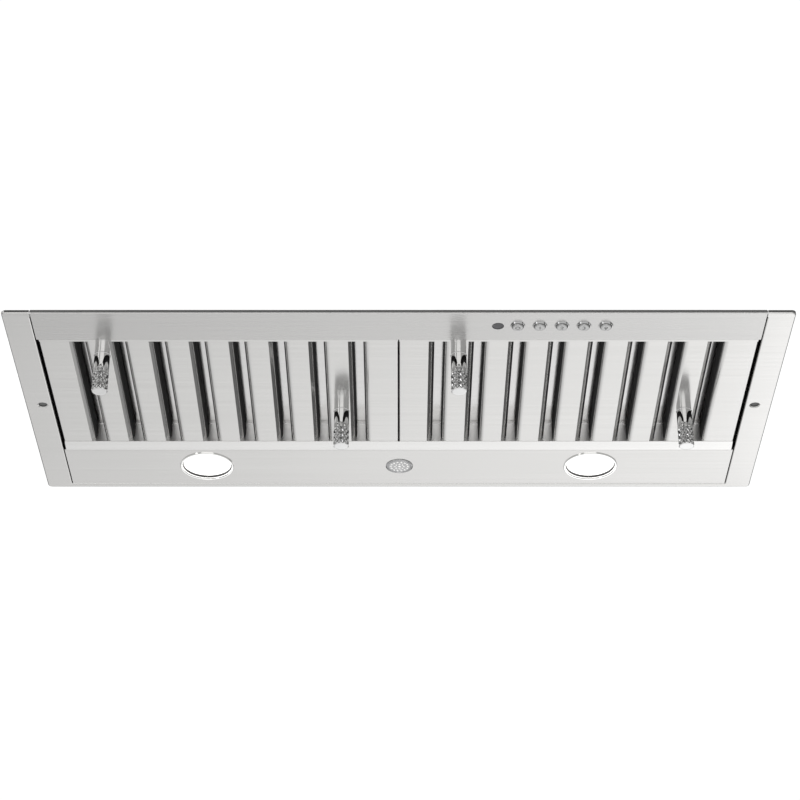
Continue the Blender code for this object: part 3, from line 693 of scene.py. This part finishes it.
def canopy():
    """The body above the flange: its sheets, stiffening panels, hole plugs and rivets."""
    place("canopy_flange", flange(), "stainless", ["canopy_shell"])
    holes = [(side * FLANGE_HOLE[0], FLANGE_HOLE[1], 0) for side in (-1, 1)]
    plugs = [rod(PLUG_R, FACE + 2.2, FACE + 3.4, hole) for hole in holes]
    place("hole_plugs", joined(plugs), "seal")
    place("canopy_wrapper", wrapper(), "inside")
    for name, side in (("left", -1), ("right", 1)):
        place("canopy_side_" + name, side_panel(side), "inside")
    panels = [emboss((x, x + 228), (30, 228)) for x in (-366, -114, 138)]
    place("canopy_embosses", joined(panels), "inside")
    heads = []
    for x in (-RIVET_X, RIVET_X):
        heads += [on_slope(x, y, 0.0)[0] for y in (-160, -110, -60, -10)]
    slope_out = on_slope(0, 0)[1]
    place("slope_rivets", domes(heads, 3.2, 1.2, slope_out), "aluminium")
    heads = [(x, y, ROOF) for x in (-RIVET_X, RIVET_X) for y in (60, 110, 165)]
    heads += [(x, REAR_WALL_Y - 8, ROOF) for x in (-350, -180, 180, 350)]
    place("roof_rivets", domes(heads, 3.2, 1.2), "aluminium")
    heads = [(x, REAR_WALL_Y + SHEET, 14) for x in range(-380, 381, 95)]
    place("rear_rivets", domes(heads, 3.0, 1.1, (0, 1, 0)), "aluminium")
    for name, side in (("left", -1), ("right", 1)):
        wall = side * (INNER_X + SHEET)
        heads = [(wall, y, 14) for y in range(-140, 181, 64)]
        heads += [(wall, y, rise(y) - 7) for y in (-120, -60, 0)]
        heads += [(wall, y, ROOF - 8) for y in (60, 120, 175)]
        place("side_rivets_" + name, domes(heads, 3.0, 1.1, (side, 0, 0)), "aluminium")


def fascia():
    """The control strip: a lip in front, a hem behind, and a hole for each control."""
    half, front = INNER_X - SEAM, -DEPTH / 2
    rear = FASCIA_REAR_Y + 1.2
    path = [(front, 0), (front, FACE), (rear, FACE), (rear, FACE + HEM)]
    steps = cut(*[rod(7.5, FACE - 5, FACE + 5, (x, BUTTON_Y, 0)) for x in button_places()])
    steps += cut(rod(INDICATOR_R + 0.2, FACE - 5, FACE + 5, (INDICATOR_X, INDICATOR_Y, 0), steps=40))
    sheet = folded(path, -half, half, radii=(1.2, 0.7), steps=5)
    place("fascia", shaped(sheet, steps), "fascia", ["front_fascia"])


def rail_and_panel():
    """The rail behind the filters, and the panel that carries the lamps."""
    path = [
        (RAIL_FRONT_Y, FACE + 1.0),
        (RAIL_FRONT_Y + 6.0, FACE),
        (RAIL_REAR_Y - 0.9, FACE - 0.9),  # the rail dips a little here
        (RAIL_REAR_Y, FACE + 0.3),
        (RAIL_REAR_Y, FACE + PANEL_LEG - 2),
    ]
    rail = folded(path, -RAIL_X, RAIL_X, radii=(0.5, 0.7, 0.5), thickness=RAIL_SHEET, steps=4)
    # The rail's paler steel is a painted highlight.
    place("rail", rail, "rail", ["filter_rail"])
    half = INNER_X - SEAM
    path = [
        (PANEL_FRONT_Y, FACE + PANEL_LEG),
        (PANEL_FRONT_Y, FACE),
        (PANEL_REAR_Y + 0.6, FACE),
        (PANEL_REAR_Y + 0.6, FACE + 6),
    ]
    sheet = folded(path, -half, half, radii=(0.9, 1.5), steps=5)
    lamps_at = [(side * LAMP_X, LAMP_Y, 0) for side in (-1, 1)]
    holes = [rod(LAMP_R - 1.7, FACE - 5, FACE + 5, where, steps=64) for where in lamps_at]
    place("lamp_sheet", shaped(sheet, cut(*holes)), "stainless", ["lamp_panel"])


# ---------------------------------------------------------------- controls


def button_places():
    return [BUTTON_X0 + BUTTON_PITCH * i for i in range(len(BUTTON_NAMES))]


def ribbon(points, width, low, high):
    """A flat stroke of even width along a line of points, as one closed strip."""
    points = [Vector(p) for p in points]
    left, right = [], []
    for i, point in enumerate(points):
        back = points[max(i - 1, 0)]
        on = points[min(i + 1, len(points) - 1)]
        across = (on - back).normalized()
        across = Vector((-across.y, across.x)) * width / 2
        left.append(point + across)
        right.append(point - across)
    n = len(points)
    corners = [(*p, z) for z in (low, high) for p in (*left, *right)]
    faces = []
    for i in range(n - 1):
        a, b, c, d = i, i + 1, n + i + 1, n + i
        faces += [(a, b, c, d), tuple(2 * n + k for k in (a, b, c, d))]
        faces += [(a, b, 2 * n + b, 2 * n + a), (d, c, 2 * n + c, 2 * n + d)]
    faces += [(0, n, 3 * n, 2 * n), (n - 1, 2 * n - 1, 4 * n - 1, 3 * n - 1)]
    return mesh_from(corners, faces)


def curve_points(centre, radius, start, end, steps=10):
    """Points along an arc of a mark, its angles in degrees."""
    return [
        (
            centre[0] + radius * math.cos(math.radians(start + (end - start) * i / steps)),
            centre[1] + radius * math.sin(math.radians(start + (end - start) * i / steps)),
        )
        for i in range(steps + 1)
    ]


MARKS = {
    "off": [curve_points((0, 0), 2.4, 0, 360, 24)],
    "speed_1": [[(-1.0, 1.6), (0.2, 2.5), (0.2, -2.5)]],
    "speed_2": [[*curve_points((0, 1.2), 1.4, 170, -30, 10), (-1.5, -2.4), (1.6, -2.4)]],
    "speed_3": [
        [*curve_points((-0.1, 1.25), 1.3, 150, -80, 9)],
        [*curve_points((-0.1, -1.2), 1.45, 80, -150, 10)],
    ],
    "lamp": [
        curve_points((0, 0.5), 1.5, 0, 360, 16),
        [(-0.8, -1.7), (0.8, -1.7)],
        [(-0.6, -2.5), (0.6, -2.5)],
    ],
}


def controls():
    """Push buttons with their marks, the bezels round them, and the indicator beside them."""
    for name, x in zip(BUTTON_NAMES, button_places()):
        centre = (x, BUTTON_Y, 0)
        tip = FACE - BUTTON_PROUD
        cap = [(0, tip), (BUTTON_R - 0.9, tip), (BUTTON_R, tip + 0.9)]
        cap += [(BUTTON_R, BUTTON_TOP), (0, BUTTON_TOP)]
        body = "push_button_" + name
        place("cap_" + name, turned(softened(cap, 0.5), centre), "button", ["button_" + name], body)
        strokes = [
            ribbon([(x + u, BUTTON_Y - v) for u, v in line], 0.85, tip - 0.03, tip + 0.3)
            for line in MARKS[name]
        ]
        place("mark_" + name, joined(strokes), "mark", body=body)
        bore = BUTTON_R + 0.25
        ring = [
            (bore, FACE + 3.6),
            (bore, FACE - 1.1),
            (bore + 0.5, FACE - 1.6),
            (bore + 0.8, FACE - 1.55),
            (BEZEL_R - 0.35, FACE - 0.75),
            (BEZEL_R, FACE - 0.05),
            (7.2, FACE - 0.02),
            (7.2, FACE + 3.6),
        ]
        place("collar_" + name, turned(ring, centre), "chrome", ["bezel_" + name])
    lens = [(0, FACE + 0.35), (INDICATOR_R - 1.6, FACE + 0.45), (INDICATOR_R - 0.4, FACE + 0.05)]
    lens += [(INDICATOR_R, FACE + 0.5), (INDICATOR_R, FACE + 6), (0, FACE + 6)]
    centre = (INDICATOR_X, INDICATOR_Y, 0)
    place("light_pipe", turned(softened(lens, 0.4), centre), "indicator", ["indicator_lens"])


# ---------------------------------------------------------------- lamps


def lamps():
    """Chrome trim rings with a nearly black ring inside, painted shade for the deep gap round each lens,
    recessed opal lenses, and the badge.
    """
    bore = LENS_R + GAP
    for name, side in (("left", -1), ("right", 1)):
        centre = (side * LAMP_X, LAMP_Y, 0)
        ring = [
            (bore + 0.4, FACE + 8),
            (bore + 0.4, FACE + 0.1),
            (bore + 1.3, FACE - 1.5),
            (LAMP_R - 0.5, FACE - 1.5),
            (LAMP_R, FACE - 1.0),
            (LAMP_R, FACE),
            (bore + 1.5, FACE),
            (bore + 1.5, FACE + 8),
        ]
        place("trim_" + name, turned(ring, centre, steps=96), "trim", ["lamp_ring_" + name])
        # A nearly black ring between the lens and the trim: painted shade for the deep gap there.
        inner = [
            (LENS_R + 0.1, LENS_LOW + 0.6),
            (bore + 0.2, FACE + 0.2),
            (bore + 0.35, FACE + 0.4),
            (bore + 0.35, LENS_LOW + 0.6),
        ]
        place("painted_shade_ring_" + name, turned(inner, centre, steps=96), "baffle")
        lens = [(0, LENS_LOW), (LENS_R * 0.7, LENS_LOW + 0.1), (LENS_R, LENS_LOW + 0.6)]
        lens += [(LENS_R, FACE + 6), (0, FACE + 6)]
        place("diffuser_" + name, turned(lens, centre, steps=96), "lens", ["lamp_lens_" + name])
    centre = (BADGE_X, LAMP_Y, 0)
    low = FACE - 1.7
    disc = [
        (0, low + 0.9),
        (13.4, low + 0.9),
        (13.9, low + 0.1),
        (14.6, low),
        (BADGE_R, low + 1.1),
        (BADGE_R, FACE),
        (0, FACE),
    ]
    place("blank_badge", turned(softened(disc, 0.25, 2), centre, steps=72), "badge", ["badge_disc"])
    beads = []
    for count, out, radius in ((1, 0, 2.4), (8, 5.4, 1.7), (14, 10.4, 1.9)):
        spots = []
        for i in range(count):
            angle = 2 * math.pi * i / count
            spots.append((BADGE_X + out * math.cos(angle), LAMP_Y + out * math.sin(angle), low + 0.9))
        beads.append(domes(spots, radius, 0.85, (0, 0, -1)))
    place("badge_beads", joined(beads), "trim")


# ---------------------------------------------------------------- filters


def slot_centres(left_edge):
    return [left_edge + FIRST_SLOT + SLOT_PITCH * i for i in range(SLOT_COUNT)]


def tray(left_edge):
    """The filter's face: folded bars between the slots, a front fold, and a rear margin with tabs.
    Each slot is creased along its left edge and rolled along its right one."""
    low, right_edge = FILTER_Z, left_edge + FILTER_WIDTH
    leg_top, wall_top = low + LEG, low + TRAY_WALL
    centres = slot_centres(left_edge)
    leg = SLOT_HALF - ROLL
    rolled_tab = [(leg, LEG), *[(SLOT_HALF - u, ROLL - v) for u, v in arc((0, 0), ROLL, 0, 80)]]
    creased_tab = [(SLOT_HALF, 0), (leg + 3.5, 2.5), (leg + 1.0, 5.6), (leg, 9.6), (leg, LEG)]
    lefts = [(left_edge, wall_top, 1.3), *[(x + leg, leg_top, ROLL) for x in centres]]
    rights = [x - leg for x in centres]
    parts = []
    for (a, a_top, a_bend), b in zip(lefts, rights):
        path = [(a, a_top), (a, low), (b - ROLL, low), (b, low + CREASE_RISE), (b, leg_top)]
        parts.append(folded(path, SLOT_FRONT_Y, SLOT_REAR_Y, "Y", TRAY_SHEET, (a_bend, 0.4, KNEE), 9))
    a, a_top, a_bend = lefts[-1]
    path = [(a, a_top), (a, low), (right_edge, low), (right_edge, wall_top)]
    parts.append(folded(path, SLOT_FRONT_Y, SLOT_REAR_Y, "Y", TRAY_SHEET, (a_bend, 1.3), 9))
    path = [(FILTER_FRONT_Y, wall_top), (FILTER_FRONT_Y, low), (SLOT_FRONT_Y, low)]
    parts.append(folded(path, left_edge, right_edge, "X", TRAY_SHEET, 0.7, 4))
    rear = [(FILTER_REAR_Y, low + 6), (FILTER_REAR_Y, low), (SLOT_REAR_Y, low)]
    parts.append(folded(rear, left_edge, right_edge, "X", -TRAY_SHEET, 1.2, 4))
    for x in centres:
        halves = ((1, rolled_tab), (-1, creased_tab))
        outline = [(x + side * u, low + v) for side, half in halves for u, v in half]
        parts.append(prism(outline, SLOT_REAR_Y - 0.6, SLOT_REAR_Y + 0.15, "Y"))
    return joined(parts)


def baffle(left_edge):
    """The upper layer: an inverted channel over each slot between a front and a rear wall, with a
    thin weld where each channel's ceiling meets the rear wall."""
    low = FILTER_Z
    parts = []
    for x in slot_centres(left_edge):
        path = [
            (x - CAP_HALF, low + CAP_LOW),
            (x - CAP_HALF, low + CAP_HIGH),
            (x + CAP_HALF, low + CAP_HIGH),
            (x + CAP_HALF, low + CAP_LOW),
        ]
        parts.append(folded(path, SLOT_FRONT_Y + 0.3, SLOT_REAR_Y + 0.8, "Y", -SHEET, 1.8, 5))
        wall_y, inside_top = SLOT_REAR_Y + GAP, low + CAP_HIGH - SHEET
        weld = [(wall_y - 1.1, inside_top), (wall_y, inside_top - 1.1), (wall_y, inside_top)]
        parts.append(prism(weld, x - CAP_HALF + SHEET, x + CAP_HALF - SHEET, "X"))
    across = (left_edge + SHEET + GAP, left_edge + FILTER_WIDTH - SHEET - GAP)
    top = low + CAP_HIGH - 0.2
    parts.append(block(across, (SLOT_FRONT_Y - 0.2, SLOT_FRONT_Y + 0.8), (low + LEG + GAP, top)))
    rear_y = (SLOT_REAR_Y + GAP, SLOT_REAR_Y + GAP + SHEET)
    parts.append(block(across, rear_y, (low + SHEET + GAP, top)))
    return joined(parts)


def ring(x, y, radius, z):
    """The points of a smooth stretch of a knob at one height."""
    angles = [2 * math.pi * i / KNOB_AROUND for i in range(KNOB_AROUND)]
    return [(x + radius * math.cos(angle), y + radius * math.sin(angle), z) for angle in angles]


def knurled_knob(x, y):
    """A pull knob turned from bar: a smooth neck, a coarse diamond knurl and a chamfered tip."""
    top = FILTER_Z - 0.05
    tip = FILTER_Z - GAP - KNOB_LENGTH
    neck_end = top - KNOB_NECK
    around, grip_low = KNOB_AROUND, tip + 0.9

    def radius(angle, depth):
        """Radius at a depth below the neck: facets between two sets of crossing grooves."""
        turns = KNURL_STARTS * (angle / (2 * math.pi) + 0.25)
        phase = 0.5 * min(depth / KNURL_RUN_OUT, 1) + max(depth - KNURL_RUN_OUT, 0) / KNURL_PITCH
        first = 1 - abs((turns + phase) % 1 - 0.5) * 2
        second = 1 - abs((turns - phase) % 1 - 0.5) * 2
        height = min(first, second)
        fade = min(1.0, depth / KNURL_RUN_OUT) ** KNURL_FADE
        crest = KNOB_R - 0.05
        grooved = crest - KNURL_DEPTH * fade * max(0, 1 - KNURL_FLANK * height)
        return min(KNOB_NECK_R + (crest - KNOB_NECK_R) * fade, grooved)

    points, faces = [], []
    for r, z in ((KNOB_NECK_R + 0.5, top), (KNOB_NECK_R, top - 0.5), (KNOB_NECK_R, neck_end + 0.8)):
        points += ring(x, y, r, z)
    for k in range(KNOB_ALONG + 1):
        depth = (neck_end - grip_low) * k / KNOB_ALONG
        for i in range(around):
            angle = 2 * math.pi * i / around
            r = radius(angle, depth)
            points.append((x + r * math.cos(angle), y + r * math.sin(angle), neck_end - depth))
    for r, z in ((KNOB_R - 1.0, tip + 0.12), (KNOB_R - 1.35, tip), (KNOB_R - 3.0, tip)):
        points += ring(x, y, r, z)
    count = len(points) // around
    for k in range(count - 1):
        for i in range(around):
            j = (i + 1) % around
            faces.append((k * around + i, k * around + j, (k + 1) * around + j, (k + 1) * around + i))
    faces.append(tuple(range(around)))
    faces.append(tuple(range((count - 1) * around, count * around)))
    return mesh_from(points, faces)


def give(piece, finish, chosen):
    """Gives the chosen faces of a piece another of the hood's finishes."""
    piece.data.materials.append(FINISH[finish].made)
    for face in piece.data.polygons:
        if chosen(face):
            face.material_index = len(piece.data.materials) - 1


def filters():
    """Both filters with their knobs. The legs are nearly black, which is painted shade, and the slots'
    rear ends paler, which is painted light: the real part isn't so."""
    leg_low = (FILTER_Z + 0.3 * ROLL) * MM
    tab_front = (SLOT_REAR_Y - 0.5) * MM

    def is_shaded_leg(face):
        return abs(face.normal.x) > LEG_LEAN and face.center.z > leg_low

    def is_lit_end(face):
        return face.normal.y < -END_LEAN and face.center.y > 0

    for side, left_edge in (("left", -FILTER_EDGE_X), ("right", FILTER_EDGE_X - FILTER_WIDTH)):
        body = "filter_" + side
        piece = place("tray_" + side, tray(left_edge), "stainless", ["filter_tray_" + side], body)
        # Painted shade: the slots' inner legs get the nearly black finish.
        give(piece, "leg", is_shaded_leg)
        # Painted light: paler steel on the tray faces that close the slots' rear ends.
        give(piece, "end", lambda face: is_lit_end(face) and face.center.y < tab_front)
        piece = place("channels_" + side, baffle(left_edge), "channel", ["filter_baffle_" + side], body)
        # Painted light: paler steel on the channels' front-facing rear walls.
        give(piece, "end", is_lit_end)
        for where, (bar, y) in zip(("front", "rear"), KNOB_BARS):
            x = slot_centres(left_edge)[bar] + SLOT_PITCH / 2
            name = f"{side}_{where}"
            stands_for = ["filter_knob_" + name]
            place("knob_" + name, knurled_knob(x, y), "chrome", stands_for, body, soft_angle=28)


# ---------------------------------------------------------------- light and camera


def area_light(name, where, size, radiance, target=(0, 0, 0)):
    """A soft light that the camera doesn't see, aimed at a target."""
    data = bpy.data.lights.new(name, "AREA")
    data.shape = "RECTANGLE"
    data.size, data.size_y = size
    data.energy = math.pi * size[0] * size[1] * radiance
    lamp = bpy.data.objects.new(name, data)
    lamp.location = where
    lamp.rotation_euler = (Vector(target) - Vector(where)).to_track_quat("-Z", "Y").to_euler()
    lamp.visible_camera = False
    bpy.context.scene.collection.objects.link(lamp)


def card(where, size):
    """A lit card that the hood's underside mirrors and the camera doesn't see. It gets brighter to
    the right and darker again at its far right, and it fades out towards its top, sooner on the
    right. Its size is half its width, then how far it reaches down and up."""
    half_x, down, up = size
    sheet = bpy.data.meshes.new("card")
    corners = [(-half_x, -down, 0), (half_x, -down, 0), (half_x, up, 0), (-half_x, up, 0)]
    sheet.from_pydata(corners, [], [(0, 1, 2, 3)])
    lit = bpy.data.materials.new("lit_card")
    lit.use_nodes = True
    nodes, links = lit.node_tree.nodes, lit.node_tree.links
    nodes.remove(nodes["Principled BSDF"])
    glow = nodes.new("ShaderNodeEmission")
    where_on = nodes.new("ShaderNodeTexCoord").outputs["Object"]
    level = None
    for direction, (start, end), (low, high) in (
        ((1, 0, 0), (-1.3, 1.3), (0.82, 1.34)),
        ((1, 0, 0), (1.0, 1.5), (1.0, 1.22)),
        ((1, 0, 0), (1.7, 3.2), (1.0, 0.3)),
        ((0, 1, 0), (-0.25, 0.2), (0.90, 1.16)),
        ((0.05, 1, 0), (0.35, 1.5), (1.0, 0.08)),
    ):
        along = nodes.new("ShaderNodeVectorMath")
        along.operation = "DOT_PRODUCT"
        along.inputs[1].default_value = direction
        links.new(where_on, along.inputs[0])
        ramp = nodes.new("ShaderNodeMapRange")
        for name, number in zip(("From Min", "From Max", "To Min", "To Max"), (start, end, low, high)):
            ramp.inputs[name].default_value = number
        links.new(along.outputs["Value"], ramp.inputs["Value"])
        if level is None:
            level = ramp.outputs["Result"]
            continue
        product = nodes.new("ShaderNodeMath")
        product.operation = "MULTIPLY"
        links.new(level, product.inputs[0])
        links.new(ramp.outputs["Result"], product.inputs[1])
        level = product.outputs["Value"]
    links.new(level, glow.inputs["Strength"])
    links.new(glow.outputs["Emission"], nodes["Material Output"].inputs["Surface"])
    sheet.materials.append(lit)
    piece = bpy.data.objects.new("card", sheet)
    piece.location = where
    piece.rotation_euler = (-Vector(where)).to_track_quat("Z", "Y").to_euler()
    piece.visible_camera = False
    bpy.context.scene.collection.objects.link(piece)


def studio():
    """A plain pale floor below, soft lights, and a camera in front of the hood and below it."""
    scene = bpy.context.scene
    scene.view_settings.view_transform = "Standard"
    world = bpy.data.worlds.new("studio")
    world.use_nodes = True
    scene.world = world
    nodes, links = world.node_tree.nodes, world.node_tree.links
    nodes["Background"].inputs["Color"].default_value = (1, 1, 1, 1)
    seen = nodes.new("ShaderNodeLightPath").outputs["Is Camera Ray"]
    strength = nodes.new("ShaderNodeMapRange")
    strength.inputs["To Min"].default_value = WORLD_LIGHT
    strength.inputs["To Max"].default_value = WORLD_SEEN
    links.new(seen, strength.inputs["Value"])
    links.new(strength.outputs["Result"], nodes["Background"].inputs["Strength"])

    floor_mesh = bpy.data.meshes.new("floor")
    corners = [(a * FLOOR_REACH, b * FLOOR_REACH, FLOOR_Z) for a, b in ((-1, -1), (1, -1), (1, 1), (-1, 1))]
    floor_mesh.from_pydata(corners, [], [(0, 1, 2, 3)])
    floor = bpy.data.objects.new("floor", floor_mesh)
    scene.collection.objects.link(floor)
    pale = bpy.data.materials.new("pale_floor")
    pale.use_nodes = True
    shader = pale.node_tree.nodes["Principled BSDF"]
    shader.inputs["Base Color"].default_value = (0.86, 0.86, 0.85, 1)
    shader.inputs["Roughness"].default_value = 0.8
    shader.inputs["Emission Color"].default_value = (1, 1, 1, 1)
    shader.inputs["Emission Strength"].default_value = FLOOR_GLOW
    floor_mesh.materials.append(pale)

    card((0, 3.6, -2.3), (6, 5, 2.3))
    area_light("below_front", (0, -3.4, -2.5), (3.6, 2.2), 1.0)
    area_light("front_left", (-2.9, -2.6, -1.2), (0.5, 2.4), 2.5)
    area_light("overhead", (0, 0.4, 5.0), (12, 10), 0.62)
    area_light("rear", (1.0, 4.5, 2.6), (4, 3), 1.0)
    area_light("left", (-4.5, -1.5, 1.8), (3, 3), 0.9)

    view = bpy.data.cameras.new("camera")
    view.lens, view.sensor_width = 100.0, 36.0
    view.clip_start, view.clip_end = 0.05, 100.0
    camera = bpy.data.objects.new("camera", view)
    camera.location = CAMERA_AT
    camera.rotation_euler = (math.radians(90 + CAMERA_TILT), 0, 0)
    scene.collection.objects.link(camera)
    scene.camera = camera


def carried_over():
    """CAD nodes whose shape is right as it is."""
    keep("plastic", "switch_block", "led_driver", "terminal_block", "cable_gland")
    keep("board", "control_board", "led_board_left", "led_board_right", edge=0.1)
    keep("galvanised", "wireway_divider", "motor_strap", "duct_collar", "junction_box", "junction_cover")
    keep("galvanised", "scroll_left", "scroll_right", "inlet_plate_left", "inlet_plate_right")
    keep("aluminium", "lamp_can_left", "lamp_can_right", "capacitor", "damper_leaf")
    keep("chrome", "damper_rod", *[f"collar_screw_{i}" for i in range(1, 5)], edge=0.2)
    keep("motor", "motor_body", "motor_shaft")
    keep("fan", "fan_wheel_left", "fan_wheel_right")
    keep("cable", "control_harness", "lamp_lead_left", "lamp_lead_right", edge=0.05)


canopy()
fascia()
rail_and_panel()
controls()
lamps()
filters()
carried_over()
studio()
